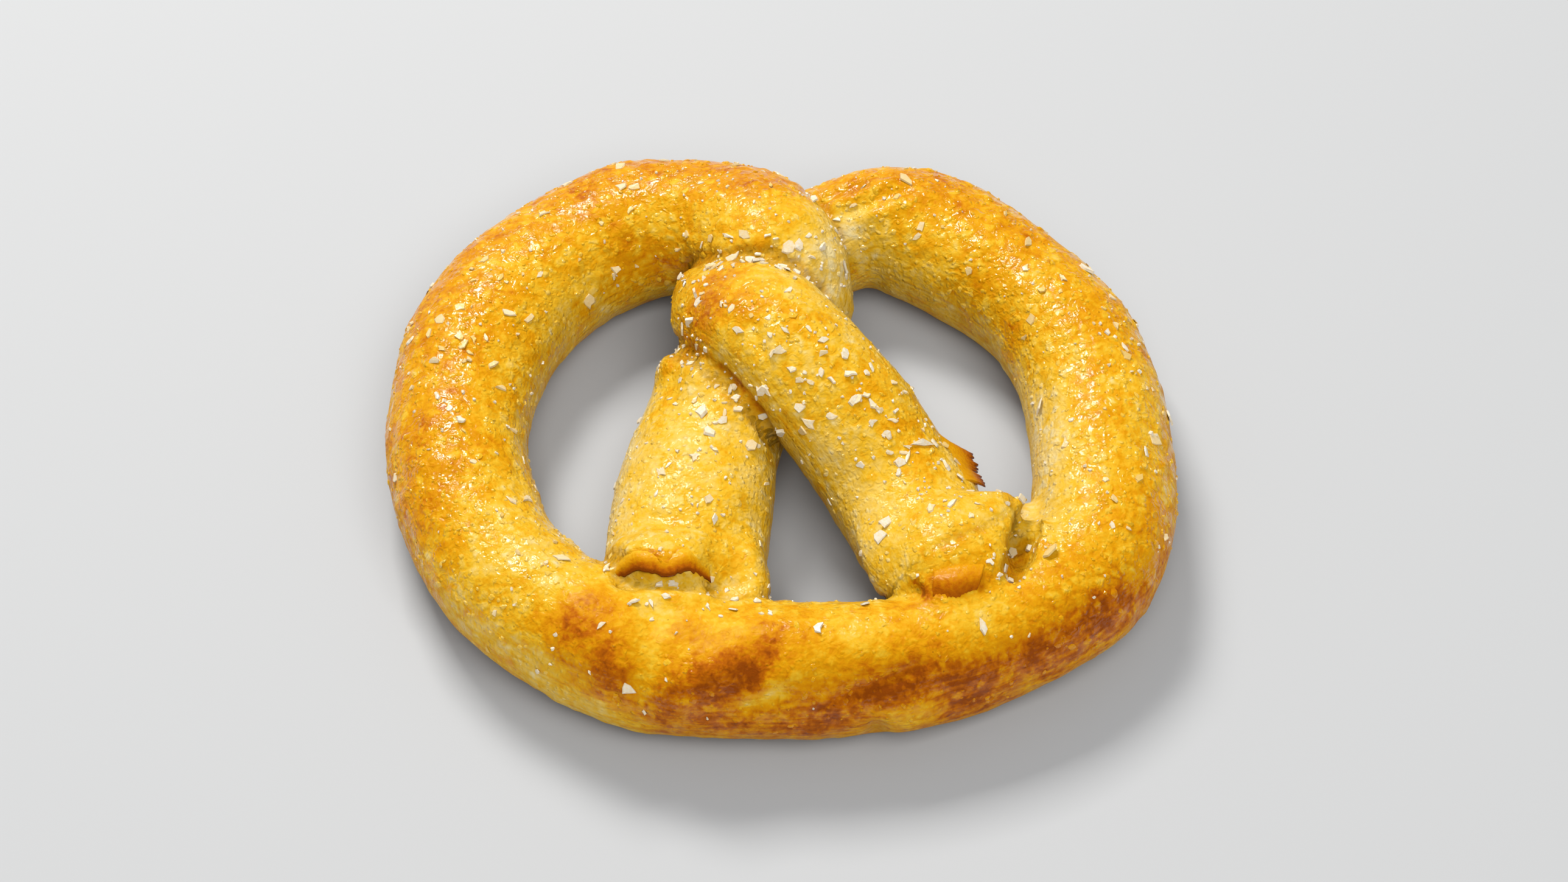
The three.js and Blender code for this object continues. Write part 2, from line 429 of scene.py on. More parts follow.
class Surface:
    # the crust's points as arrays, with what smoothing and spreading need
    def __init__(self, mesh):
        self.mesh = mesh
        self.points = np.empty(len(mesh.vertices) * 3)
        mesh.vertices.foreach_get("co", self.points)
        self.points = self.points.reshape(-1, 3)
        edges = np.empty(len(mesh.edges) * 2, np.int64)
        mesh.edges.foreach_get("vertices", edges)
        self.edges = edges.reshape(-1, 2)
        self.count = len(self.points)
        self.links = np.bincount(self.edges.ravel(), minlength=self.count).clip(1)

    def neighbourMean(self, values):
        a, b = self.edges.T
        total = np.bincount(a, weights=values[b], minlength=self.count)
        total += np.bincount(b, weights=values[a], minlength=self.count)
        return total / self.links

    def smooth(self, passes):
        for _ in range(passes):
            mean = np.stack([self.neighbourMean(self.points[:, i]) for i in range(3)], axis=1)
            self.points += (mean - self.points) / 2

    def spread(self, values, passes):
        for _ in range(passes):
            values = (values + self.neighbourMean(values)) / 2
        return values

    def normals(self):
        self.store()
        normals = np.empty(self.count * 3)
        self.mesh.vertices.foreach_get("normal", normals)
        return normals.reshape(-1, 3)

    def store(self):
        self.mesh.vertices.foreach_set("co", self.points.ravel())
        self.mesh.update()

    def addField(self, name, values):
        field = self.mesh.attributes.new(name, "FLOAT", "POINT")
        field.data.foreach_set("value", values.astype(np.float32))


def noiseField(points, size, seed):
    # smooth values from -1 to 1 that change over about one size, in millimetres
    offset = Vector((seed * 3.7, seed * 1.9, -seed * 2.3))
    scale = 1 / (size * mm)
    return np.array([noise.noise(Vector(p) * scale + offset) for p in points])


def blisterField(points, size, seed):
    # low round domes of uneven height, from 0 to 1
    reach = 0.62  # of a dome, as a share of its size
    flatShare = 0.35  # share of them that stay flat
    scale = 1 / (size * mm)
    offset = Vector((seed, -seed, seed * 2))
    values = np.empty(len(points))
    for i, p in enumerate(points):
        gaps, cells = noise.voronoi(Vector(p) * scale + offset)
        tall = noise.cell(cells[0] * 7.3)
        dome = max(0.0, 1 - (gaps[0] / reach) ** 2)
        values[i] = dome * max(0.0, tall - flatShare) / (1 - flatShare)
    return values


def strokeWeight(points, places, reach):
    # 1 along the line through the places, fading to nothing over about one reach; points are in metres
    weight = np.zeros(len(points))
    places = np.array(places) * mm
    for start, line in zip(places, np.diff(places, axis=0)):
        share = np.clip((points - start) @ line / max(line @ line, 1e-12), 0, 1)
        gap = points - start - share[:, None] * line
        weight = np.maximum(weight, np.exp(-np.einsum("pi,pi->p", gap, gap) / (reach * mm) ** 2))
    return weight


def strokes(points, entries):
    total = np.zeros(len(points))
    for *places, reach, amount in entries:
        total += amount * strokeWeight(points, places, reach)
    return total


def creaseField(surface, along):
    # 1 on the points where two stretches of the rope meet
    a, b = surface.edges.T
    meeting = np.abs(along[a] - along[b]) > crustShape["creaseGap"] * mm
    touched = np.zeros(surface.count)
    touched[a[meeting]] = 1
    touched[b[meeting]] = 1
    return touched


# How brown the crust is, from 0, cream, to 1, dark brown.
bakeLook = {
    "ring": 0.54,
    "arms": 0.40,
    "innerSide": -0.14,
    "outerSide": 0.06,
    "underside": 0.68,
    "undersideSlope": (0.35, 0.8),  # how far the surface turns down where the underside's colour comes in
    "armBlend": 12,  # over which an arm's colour turns into the ring's
}

# Places that are browner (above 0) or paler (below 0) than the rest.
bakeStrokes = [
    # left side of the ring
    ((-61, 27, 21), (-58, 34, 20), 11, 0.08),
    ((-51, 21, 22), (-52, 8, 22), 6, 0.05),
    ((-48, -34, 22), (-50, -28, 22), 8, -0.15),
    ((-37, -38, 22), (-41, -36, 22), 7, -0.13),
    ((-51, -47, 14), (-56, -38, 14), 8, -0.18),
    ((-43, -56, 10), (-30, -61, 8), 7, -0.28),
    ((-60, -18, 19), (-62, -4, 19), 6, 0.10),
    # far side and crossing
    ((-36, 51, 21), (-20, 54, 22), (-6, 51, 24), 9, 0.15),
    ((-6, 42, 29), (0, 46, 27), 7, 0.06),
    ((-58, 10, 21), (-57, -14, 21), (-52, -36, 21), 9, 0.04),
    ((-28, 38, 15), (-14, 31, 18), 7, 0.24),
    ((7, 30, 26), (9, 20, 26), 6, -0.24),
    ((9, 40, 25), (13, 30, 22), 4, -0.12),
    # right side of the ring
    ((14, 51, 21), (30, 53, 21), 4, 0.16),
    ((20, 40, 16), (34, 35, 15), 5, 0.02),
    ((12, 42, 17), (14, 46, 18), 4, -0.30),
    ((43, 36, 22), (35, 46, 21), 7, 0.08),
    ((36, 30, 17), (44, 20, 17), 5, 0.14),
    ((49, 2, 18), (50, -14, 18.5), (52, -26, 20), 4.5, -0.21),
    ((46, 8, 12), (47, -14, 12), 5, -0.14),
    ((66, -14, 20), (66, 4, 19), 6, -0.16),
    # belly
    ((-34, -49.5, 21.5), (-30.5, -54, 20.5), (-29, -59, 17), 5, 0.32),
    ((-21, -48, 22.5), (-21.5, -57, 20.5), (-23.5, -60.5, 17), 3.4, -0.15),
    ((-19.5, -62, 15.5), (-14.5, -60, 19), (-9, -59.5, 19.6), (-2, -55.5, 22), 4.6, 0.20),
    ((-17, -61, 17), (-11, -60.5, 18.6), (-6, -58.5, 20.4), 3, 0.10),
    ((-5.5, -63, 15.2), (-3.4, -62.3, 16.3), (0, -61.4, 17.5), 1.5, -0.40),
    ((9, -63.2, 14), (15.5, -61.8, 16.5), (22.3, -60, 17.6), (29.3, -58.5, 17.3), (35, -57, 16.5),
     (40.6, -54.5, 17), (47.8, -50.5, 17.2), (53.6, -46, 17.8), (58, -40.6, 18.4), 4, 0.22),
    ((-8, -60.5, 18), (10, -62, 16), (30, -58.5, 17.4), 7, 0.13),
    ((13, -62.3, 16), (22.3, -60, 17.8), (30, -58.3, 18), 1.8, 0.06),
    ((44, -52.8, 17.4), (50, -49, 17.6), (56, -43.5, 18), 2.2, 0.08),
    ((30, -60, 10), (36.6, -58, 10), (45.8, -54, 11), (54.5, -48.4, 12), (61, -42, 13),
     (65.5, -35, 13), 5, 0.22),
    ((-22, -62, 12), (-6, -64, 10), (6, -64, 10), 4, 0.18),
    ((19, -63, 12), (25, -62, 11), 3.5, -0.12),
    ((6, -52, 22.5), (14, -52, 22.5), 4, -0.06),
    ((36, -48, 22), (33, -44, 22), 4, -0.16),
    ((-27, -42.5, 20), (-13, -42.5, 20), 2.4, -0.06),
    # painted shade inside the slit beside the right flap
    ((42.8, -30, 17), (40.4, -37, 18), 2, 0.32),
    ((44.5, -21, 15), (44, -27, 16), 3, -0.2),
    # the arms
    # painted shade: darker lines along the crease where the crossing arm meets the left arm, and beside the
    # right end's curl
    ((-16, 13, 21), (-13.1, 8.2, 23.6), (-9.8, 4, 24.6), (-7.4, 1, 24.6), (-5.1, -1.2, 24),
     (-3.2, -4, 22.5), 0.8, 0.45),
    ((23.6, -41.4, 21.6), (26, -44.4, 21.2), 0.9, 0.5),
    ((-14, 16, 28), (-10, 20, 27), 6.5, 0.36),
    ((-9, 13, 31), (-4, 12, 33), 4, 0.16),
    ((6, 4, 34), (14, -4, 31), (22, -14, 27), 6, 0.08),
    ((12, -14, 22), (17, -26, 20), 5, -0.08),
    ((17, -30, 19), (22, -36, 19), 5, -0.08),
    ((22, -10, 24), (27, -18, 23), 3, 0.08),
    ((28, -42.5, 23.5), (34.5, -41.5, 23), 2.6, 0.50),
    ((26, -37, 24.5), (36, -37, 24), 1.5, 0.10),
    ((-26, -37.5, 24.5), (-17, -37.8, 24.5), 1.6, 0.46),
    ((-22, 0, 20), (-20, 7, 20), 4, 0.18),
    ((-15, -2, 23), (-16, -18, 23), 6, -0.10),
    ((-24.5, 4, 15), (-27, -12, 15), (-29, -28, 16), 5, -0.28),
    ((-3, 8, 24), (6, -6, 20), (14, -20, 17), (18, -30, 16), 4.5, -0.10),
    ((-8, -4, 20), (-6, -24, 18), 4, -0.06),
]

# How thick the glaze is, from 0, none, to 1, plenty.
glazeLook = {
    "slope": (-0.35, 0.55),  # how far the surface turns up where the glaze gets thicker
    "least": 0.25,
    "armsLess": 0.3,
    "most": 1.3,
}

# Places where the glaze is thicker (above 0) or missing (below 0).
glazeStrokes = [
    ((6, 32, 26), (9, 18, 26), 8, -0.4),
    ((47, 6, 12), (48, -18, 13), 7, -0.5),
    ((12, -14, 20), (17, -28, 18), 6, -0.35),
    ((20, 40, 14), (34, 34, 14), 5, -0.3),
    ((-34, -52, 22), (0, -56, 22), (40, -50, 22), 10, -0.75),
    ((-26, -48, 22), (-8, -50, 22), 7, -0.5),
    ((-51, -30, 22), (-47, -36, 22), 7, 0.4),
    ((-36, -46, 22), (-30, -50, 21), 7, -0.4),
    ((-56, 26, 22), (-55, -4, 22), 6, 0.35),
    ((38, 42, 22), (58, 8, 22), 8, 0.3),
    ((-6, 12, 33), (4, 4, 34), 6, 0.3),
]


def smoothStep(values, low, high):
    share = np.clip((values - low) / (high - low), 0, 1)
    return share * share * (3 - 2 * share)


def armShare(along):
    # 1 on the two arms, 0 on the ring
    ends = smoothLine(ropeStations(), 1)
    steps = np.concatenate([[0], np.cumsum(np.linalg.norm(np.diff(ends[:, :3], axis=0), axis=1))])
    rightEnd = steps[len(ropeShape["rightArm"]) - 2]
    leftStart = steps[-len(ropeShape["leftArm"]) + 2]
    blend = bakeLook["armBlend"] * mm
    right = 1 - smoothStep(along, rightEnd - blend, rightEnd + blend)
    left = smoothStep(along, leftStart - blend, leftStart + blend)
    return np.maximum(right, left)


def bakedField(surface, normals, along, around):
    arms = armShare(along)
    side = -np.sin(around) * (1 - arms)  # 1 on the inner side of the ring, -1 on the outer side
    bake = bakeLook["ring"] * (1 - arms) + bakeLook["arms"] * arms
    bake += np.where(side > 0, bakeLook["innerSide"] * side, -bakeLook["outerSide"] * side)
    bake += strokes(surface.points, bakeStrokes)
    below = smoothStep(-normals[:, 2], *bakeLook["undersideSlope"])
    return bake * (1 - below) + bakeLook["underside"] * below


def glazedField(surface, normals, along):
    upward = smoothStep(normals[:, 2], *glazeLook["slope"])
    glaze = glazeLook["least"] + (1 - glazeLook["least"]) * upward
    glaze *= 1 - glazeLook["armsLess"] * armShare(along)
    return np.clip(glaze + strokes(surface.points, glazeStrokes), 0, glazeLook["most"])


def streakedField(normals):
    # where the stretched dough shows lines along the rope: a little on top, mostly on its steep sides
    onTop = 0.25
    steep = 1 - smoothStep(normals[:, 2], 0.3, 0.85)
    return onTop + (1 - onTop) * steep


def doughPush(surface, crease, drawn):
    # how many millimetres the crust moves outward: creases, ridges, lumps and blisters
    shape = crustShape
    deep = surface.spread(crease, shape["creaseReach"])
    push = -np.minimum(1, deep * shape["creaseGain"] + drawn) * shape["creaseDepth"]
    push += strokes(surface.points, doughStrokes)
    for seed, (size, height) in enumerate(shape["lumps"]):
        push += noiseField(surface.points, size, seed + 1) * height
    for seed, (size, height) in enumerate(shape["blisters"]):
        glazed = np.clip(surface.glaze, shape["blistersLeast"], 1)
        push += blisterField(surface.points, size, seed + 5) * height * glazed
    return push


def makeCrust():
    surface = Surface(rawDough())
    print("crust mesh has", surface.count, "points")
    surface.smooth(crustShape["smoothing"])
    along, angle = rope.coordinates(surface.points)
    pressed = np.minimum(1, strokes(surface.points, pressedEnds))
    crease = creaseField(surface, along) * (1 - pressed)
    # the drawn creases: grooves in the dough, and painted shade along them
    drawn = strokes(surface.points, drawnCreases)
    normals = surface.normals()
    surface.glaze = glazedField(surface, normals, along)
    lifted = np.clip(surface.points[:, 2] / (crustShape["flatBase"] * mm), 0, 1)
    push = doughPush(surface, crease, drawn) * lifted
    surface.points += normals * push[:, None] * mm
    surface.points[:, 2] = np.maximum(surface.points[:, 2], 0)
    normals = surface.normals()
    around = np.mod(angle + math.pi / 2, 2 * math.pi) - math.pi  # 0 on top, its seam at the bottom
    surface.bake = bakedField(surface, normals, along, around)
    # painted shade in the creases, spread over their neighbours; the crust colour mixes it in
    shade = surface.spread(crease, crustShape["shadeReach"]) + drawn * crustShape["drawnShade"]
    fields = {"bake": surface.bake, "glaze": surface.glaze, "crease": shade,
              "streak": streakedField(normals), "ropeAlong": along, "ropeAround": around}
    for name, values in fields.items():
        surface.addField(name, values)
    surface.mesh.shade_smooth()
    crust = placed("crust", surface.mesh)
    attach(crust, "root")
    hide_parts("pretzel")
    return crust, surface


def linear(colour):
    # a colour as picked on screen, 0 to 255, as the renderer wants it
    shares = [value / 255 for value in colour]
    return (*[s / 12.92 if s <= 0.04045 else ((s + 0.055) / 1.055) ** 2.4 for s in shares], 1)


class NodeBoard:
    # short ways to add and join the nodes of one material; coordinates are in millimetres
    def __init__(self, name):
        self.material = bpy.data.materials.new(name)
        self.material.use_nodes = True
        self.nodes = self.material.node_tree.nodes
        self.links = self.material.node_tree.links
        self.shader = self.nodes["Principled BSDF"]
        place = self.nodes.new("ShaderNodeTexCoord")
        scale = self.nodes.new("ShaderNodeVectorMath")
        scale.operation = "SCALE"
        scale.inputs["Scale"].default_value = 1 / mm
        self.links.new(place.outputs["Object"], scale.inputs[0])
        self.place = scale.outputs[0]

    def plug(self, socket, value):
        if isinstance(value, bpy.types.NodeSocket):
            self.links.new(value, socket)
        else:
            socket.default_value = value

    def field(self, name):
        node = self.nodes.new("ShaderNodeAttribute")
        node.attribute_name = name
        return node.outputs["Fac"]

    def maths(self, operation, a, b=0.0, c=0.0):
        node = self.nodes.new("ShaderNodeMath")
        node.operation = operation
        for socket, value in zip(node.inputs, (a, b, c)):
            self.plug(socket, value)
        return node.outputs[0]

    def times(self, a, b):
        return self.maths("MULTIPLY", a, b)

    def added(self, value, share, onto):
        return self.maths("MULTIPLY_ADD", value, share, onto)

    def centred(self, value):
        return self.maths("SUBTRACT", value, 0.5)

    def noise(self, size, detail=2.0, roughness=0.5, distortion=0.0, place=None):
        node = self.nodes.new("ShaderNodeTexNoise")
        self.links.new(place or self.place, node.inputs["Vector"])
        node.inputs["Scale"].default_value = 1 / size
        node.inputs["Detail"].default_value = detail
        node.inputs["Roughness"].default_value = roughness
        node.inputs["Distortion"].default_value = distortion
        return node.outputs["Fac"]

    def cells(self, size, place=None, feature="F1"):
        node = self.nodes.new("ShaderNodeTexVoronoi")
        node.feature = feature
        self.links.new(place or self.place, node.inputs["Vector"])
        node.inputs["Scale"].default_value = 1 / size
        return node

    def grey(self, colour):
        node = self.nodes.new("ShaderNodeSeparateColor")
        self.links.new(colour, node.inputs[0])
        return node.outputs[0]

    def range(self, value, low, high, newLow=0.0, newHigh=1.0, smooth=False):
        node = self.nodes.new("ShaderNodeMapRange")
        node.interpolation_type = "SMOOTHSTEP" if smooth else "LINEAR"
        self.plug(node.inputs["Value"], value)
        limits = {"From Min": low, "From Max": high, "To Min": newLow, "To Max": newHigh}
        for name, limit in limits.items():
            node.inputs[name].default_value = limit
        return node.outputs["Result"]

    def mix(self, share, a, b):
        node = self.nodes.new("ShaderNodeMix")
        node.data_type = "RGBA"
        self.plug(node.inputs[0], share)
        self.plug(node.inputs[6], a)
        self.plug(node.inputs[7], b)
        return node.outputs[2]

    def ramp(self, value, stops):
        node = self.nodes.new("ShaderNodeValToRGB")
        self.plug(node.inputs[0], value)
        marks = node.color_ramp.elements
        for i, (place, colour) in enumerate(stops):
            mark = marks[i] if i < 2 else marks.new(place)
            mark.position = place
            mark.color = linear(colour)
        return node.outputs[0]

    def joined(self, x, y, z):
        node = self.nodes.new("ShaderNodeCombineXYZ")
        for socket, value in zip(node.inputs, (x, y, z)):
            self.plug(socket, value)
        return node.outputs[0]

    def bump(self, height, *normals):
        node = self.nodes.new("ShaderNodeBump")
        node.inputs["Strength"].default_value = 1
        node.inputs["Distance"].default_value = mm
        self.plug(node.inputs["Height"], height)
        for name in normals:
            self.links.new(node.outputs[0], self.shader.inputs[name])


crustLook = {
    # colours by how brown the crust is
    "palette": [
        (0.0, (248, 224, 158)), (0.2, (249, 207, 96)), (0.38, (246, 192, 42)), (0.55, (237, 166, 8)),
        (0.7, (224, 144, 2)), (0.84, (198, 106, 2)), (1.0, (156, 74, 4)),
    ],
    "mottling": [(7.0, 0.24), (2.6, 0.24), (1.0, 0.20)],  # size across and how far each shifts the bake
    "streaks": {"along": 0.09, "around": 11.0, "bake": 0.24, "height": 0.25},  # how often, and how strong
    "scales": {"size": 2.1, "edge": (0.02, 0.3), "shown": (0.5, 0.75), "paler": 0.18, "height": 0.10},
    "beads": {"size": 1.15, "edge": (0.42, 0.12), "shown": (0.35, 0.6), "paler": 0.126, "height": 0.16},
    "bends": (2.4, 1.1),  # size and reach of the wandering that makes scales and beads uneven
    "reliefLeast": 0.5,  # share of the scales' and beads' height where there is no glaze
    "freckles": {"colour": (122, 62, 8), "size": 1.9, "edge": (0.12, 0.05), "above": 0.85, "share": 0.55},
    # painted shade along the creases: its colour, where the crease field brings it in, and how much is
    # mixed in
    "paintedCreaseShade": {"colour": (176, 108, 12), "edge": (0.02, 0.3), "share": 0.4},
    "roughness": (0.42, 0.6),  # under thick glaze and where it is missing
    "film": {"size": 2.8, "edge": (0.46, 0.58), "least": 0.1},  # the glaze lies in patches
    "coat": (0.04, 0.85),  # where the glaze is missing and where it is thick
    "coatRoughness": 0.03,
    "bounce": (0.16, 0.13, 0.11, 1),  # the colour it throws on the table and on itself
    "bounceShare": 0.8,
    "ripple": {"size": 1.35, "height": 0.30, "least": 0.7},
    "grit": {"size": 0.4, "height": 0.045},
}


def glazeBubbles(board):
    # flat scales and small round beads, from 0 to 1, on slightly bent coordinates
    bendSize, bendBy = crustLook["bends"]
    bend = board.nodes.new("ShaderNodeTexNoise")
    board.links.new(board.place, bend.inputs["Vector"])
    bend.inputs["Scale"].default_value = 1 / bendSize
    bent = board.nodes.new("ShaderNodeVectorMath")
    bent.operation = "MULTIPLY_ADD"
    board.links.new(bend.outputs["Color"], bent.inputs[0])
    bent.inputs[1].default_value = (bendBy, bendBy, bendBy)
    board.links.new(board.place, bent.inputs[2])
    bubbles = []
    for look, feature in ((crustLook["scales"], "DISTANCE_TO_EDGE"), (crustLook["beads"], "F1")):
        cell = board.cells(look["size"], bent.outputs[0])
        edge = board.cells(look["size"], bent.outputs[0], feature)
        flat = board.range(edge.outputs["Distance"], *look["edge"], smooth=True)
        shown = board.range(board.grey(cell.outputs["Color"]), *look["shown"])
        bubbles.append(board.times(flat, shown))
    return bubbles


def bakeColour(board, streak, scales, beads):
    # the crust's colour: the baked brown, mottled, with freckles, and painted shade along the creases
    look = crustLook
    bake = board.field("bake")
    for size, amount in look["mottling"]:
        patch = board.noise(size, 2, 0.55, 0.4)
        bake = board.added(board.centred(patch), amount * 2, bake)
    bake = board.added(streak, look["streaks"]["bake"] * 2, bake)
    bake = board.added(scales, -look["scales"]["paler"], bake)
    bake = board.added(beads, -look["beads"]["paler"], bake)
    colour = board.ramp(bake, look["palette"])

    freckles = look["freckles"]
    cell = board.cells(freckles["size"])
    dot = board.range(cell.outputs["Distance"], *freckles["edge"])
    rare = board.maths("GREATER_THAN", board.grey(cell.outputs["Color"]), freckles["above"])
    dot = board.times(board.times(dot, rare), freckles["share"])
    colour = board.mix(dot, colour, linear(freckles["colour"]))
    # painted shade: a darker colour mixed in along the creases
    paintedCreaseShade = look["paintedCreaseShade"]
    shade = board.range(board.field("crease"), *paintedCreaseShade["edge"], smooth=True)
    shade = board.times(shade, paintedCreaseShade["share"])
    return board.mix(shade, colour, linear(paintedCreaseShade["colour"]))


def crustRelief(board, glaze, streak, scales, beads):
    # the finest bumps, in millimetres, that only bend the light
    look = crustLook
    thick = board.range(glaze, 0, 1, look["ripple"]["least"], 1.0)
    ripple = board.times(board.noise(look["ripple"]["size"], 1, 0.5, 1.0), thick)
    height = board.times(scales, look["scales"]["height"])
    height = board.added(beads, look["beads"]["height"], height)
    height = board.added(ripple, look["ripple"]["height"], height)
    grit = board.noise(look["grit"]["size"], 1)
    height = board.added(grit, look["grit"]["height"], height)
    return board.added(streak, look["streaks"]["height"], height)


def crustMaterial():
    look = crustLook
    board = NodeBoard("glazedCrust")
    glaze = board.field("glaze")
    # coordinates that run with the rope, for the streaks of stretched dough
    along = board.times(board.field("ropeAlong"), look["streaks"]["along"] / mm)
    around = board.times(board.field("ropeAround"), look["streaks"]["around"])
    streak = board.noise(1.1, 2, 0.55, 0.3, board.joined(along, around, 0.0))
    streak = board.times(board.centred(streak), board.field("streak"))
    relief = board.range(glaze, 0, 1, look["reliefLeast"], 1.0)
    scales, beads = (board.times(kind, relief) for kind in glazeBubbles(board))

    colour = bakeColour(board, streak, scales, beads)
    lightPath = board.nodes.new("ShaderNodeLightPath")
    thrown = board.times(lightPath.outputs["Is Diffuse Ray"], look["bounceShare"])
    board.plug(board.shader.inputs["Base Color"], board.mix(thrown, colour, look["bounce"]))

    patchy = board.noise(look["film"]["size"], 2, 0.6)
    patchy = board.range(patchy, *look["film"]["edge"], look["film"]["least"], 1.0)
    film = board.times(patchy, glaze)
    board.plug(board.shader.inputs["Coat Weight"], board.range(film, 0, 1, *look["coat"]))
    glazedRoughness, bareRoughness = look["roughness"]
    roughness = board.range(film, 0, 1, bareRoughness, glazedRoughness)
    board.plug(board.shader.inputs["Roughness"], roughness)
    board.shader.inputs["Coat Roughness"].default_value = look["coatRoughness"]
    board.shader.inputs["Specular IOR Level"].default_value = 0.1

    board.bump(crustRelief(board, glaze, streak, scales, beads), "Normal", "Coat Normal")
    return board.material


class Scatter:
    # picks places on the crust, more of them where the weight is higher
    def __init__(self, surface, seed):
        self.random = random.Random(seed)
        mesh = surface.mesh
        mesh.calc_loop_triangles()
        corners = np.empty(len(mesh.loop_triangles) * 3, np.int64)
        mesh.loop_triangles.foreach_get("vertices", corners)
        self.corners = corners.reshape(-1, 3)
        a, b, c = (surface.points[self.corners[:, i]] for i in range(3))
        cross = np.cross(b - a, c - a)
        self.area = np.linalg.norm(cross, axis=1) / 2
        self.normals = cross / np.maximum(self.area * 2, 1e-15)[:, None]
        self.middles = (a + b + c) / 3
        self.bake = surface.bake[self.corners].mean(axis=1)
        self.glaze = surface.glaze[self.corners].mean(axis=1)

    def places(self, count, weight):
        total = np.cumsum(self.area * weight)
        picks = [self.random.random() * total[-1] for _ in range(count)]
        return np.searchsorted(total, picks)


def turned(normal, tilt, spin):
    # a rotation that lays a flat piece on a surface, tilted and spun by angles in degrees
    lay = Vector(normal).to_track_quat("Z", "Y").to_matrix()
    return lay @ Matrix.Rotation(math.radians(spin), 3, "Z") @ Matrix.Rotation(math.radians(tilt), 3, "X")


class Heap:
    # many small shapes gathered into one piece
    def __init__(self):
        self.points = []
        self.faces = []
        self.bakes = []

    def add(self, points, faces, bake=0.0):
        first = len(self.points)
        self.points.extend(points)
        self.faces.extend([[first + k for k in face] for face in faces])
        self.bakes.extend([bake] * len(points))

    def piece(self, name, material, slot):
        mesh = bpy.data.meshes.new(name)
        mesh.from_pydata(self.points, [], self.faces)
        field = mesh.attributes.new("bake", "FLOAT", "POINT")
        field.data.foreach_set("value", self.bakes)
        mesh.materials.append(material)
        piece = placed(name, mesh)
        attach(piece, "root")
        print(name, "has", len(mesh.polygons), "faces")
        return piece


def addFlake(heap, at, turn, length, width, thickness, draw, shape, bake=0.0):
    # an angular plate: an uneven outline below and a smaller one above, each closed round its middle
    count = draw.randint(*shape["corners"])
    start = draw.random() * math.pi
    below, above = [], []
    for i in range(count):
        angle = start + (i + draw.uniform(-0.3, 0.3)) * 2 * math.pi / count
        reach = draw.uniform(*shape["reach"])
        x, y = math.cos(angle) * reach * length / 2, math.sin(angle) * reach * width / 2
        shrink = draw.uniform(*shape["shrink"])
        top = thickness * draw.uniform(0.3, 0.6)
        below.append(at + turn @ Vector((x, y, -thickness / 2)) * mm)
        above.append(at + turn @ Vector((x * shrink, y * shrink, top)) * mm)
    middles = [at + turn @ Vector((0, 0, thickness * share)) * mm for share in (-0.5, 0.55)]
    faces = []
    for i in range(count):
        j = (i + 1) % count
        faces += [(i, j, j + count, i + count), (j, i, 2 * count), (i + count, j + count, 2 * count + 1)]
    heap.add(below + above + middles, faces, bake)


smaller = (0.6, 1)  # a share of the size, drawn as well so that the smaller ones are commoner
saltSetup = {
    "seed": 11,
    "flakes": 340,
    "flakeLength": (1.3, 3.7),
    "flakeWidth": (0.4, 0.9),  # as a share of the length
    "flakeThickness": (0.18, 0.4),
    "flakeTilt": 17,  # degrees, more or less
    "notableThinner": 0.7,  # a notable flake has this share of its listed thickness
    "grains": 420,
    "grainSize": (0.4, 0.9),
    "grainWidth": (0.6, 1),  # as a share of the size
    "grainThickness": (0.4, 0.7),
    "shape": {"corners": (5, 8), "reach": (0.4, 1.25), "shrink": (0.75, 1.0)},
    "colour": (255, 246, 224),
    "shadedColour": (255, 232, 190),
    "glazedColour": (247, 201, 84),
    "glazed": (1.0, -0.55),  # share of that colour a flake takes: per thickness of glaze, and besides
    "glazedUneven": 0.2,
    "glazedMost": 0.85,
    "base": 0.5,  # how thickly the salt lies where no patch is
}

# Where salt lies thicker (above 0) or thinner (below 0).
saltPatches = [
    ((-10, 28, 27), (6, 24, 27), 5, 5.0),
    ((-16, 22, 26), (-18, 12, 24), 4, 3.0),
    ((8, 42, 24), (12, 28, 24), 4, 2.0),
    ((-16, 8, 20), (-14, -20, 23), 9, 2.0),
    ((-4, 10, 33), (26, -18, 24), 9, 1.6),
    ((22, -8, 24), (30, -20, 24), 7, 2.0),
    ((-6, 0, 25), (2, -9, 22), 3, 4.0),
    ((42, -32, 21), (38, -40, 21), 5, 3.0),
    ((-20, -46, 22), (-4, -44, 22), 5, 1.6),
    ((-52, 24, 22), (-60, 6, 21), 9, 0.8),
    ((50, 32, 22), (62, 10, 21), 9, 0.8),
    ((-22, 54, 22), (0, 50, 25), 9, 0.6),
    ((-40, -50, 18), (40, -56, 16), 9, -0.35),
    ((-50, -44, 16), (-60, -30, 16), 8, -0.3),
    ((49, -52, 12), (62, -36, 14), 8, -0.3),
    ((20, 38, 14), (36, 34, 14), 6, -0.4),
]

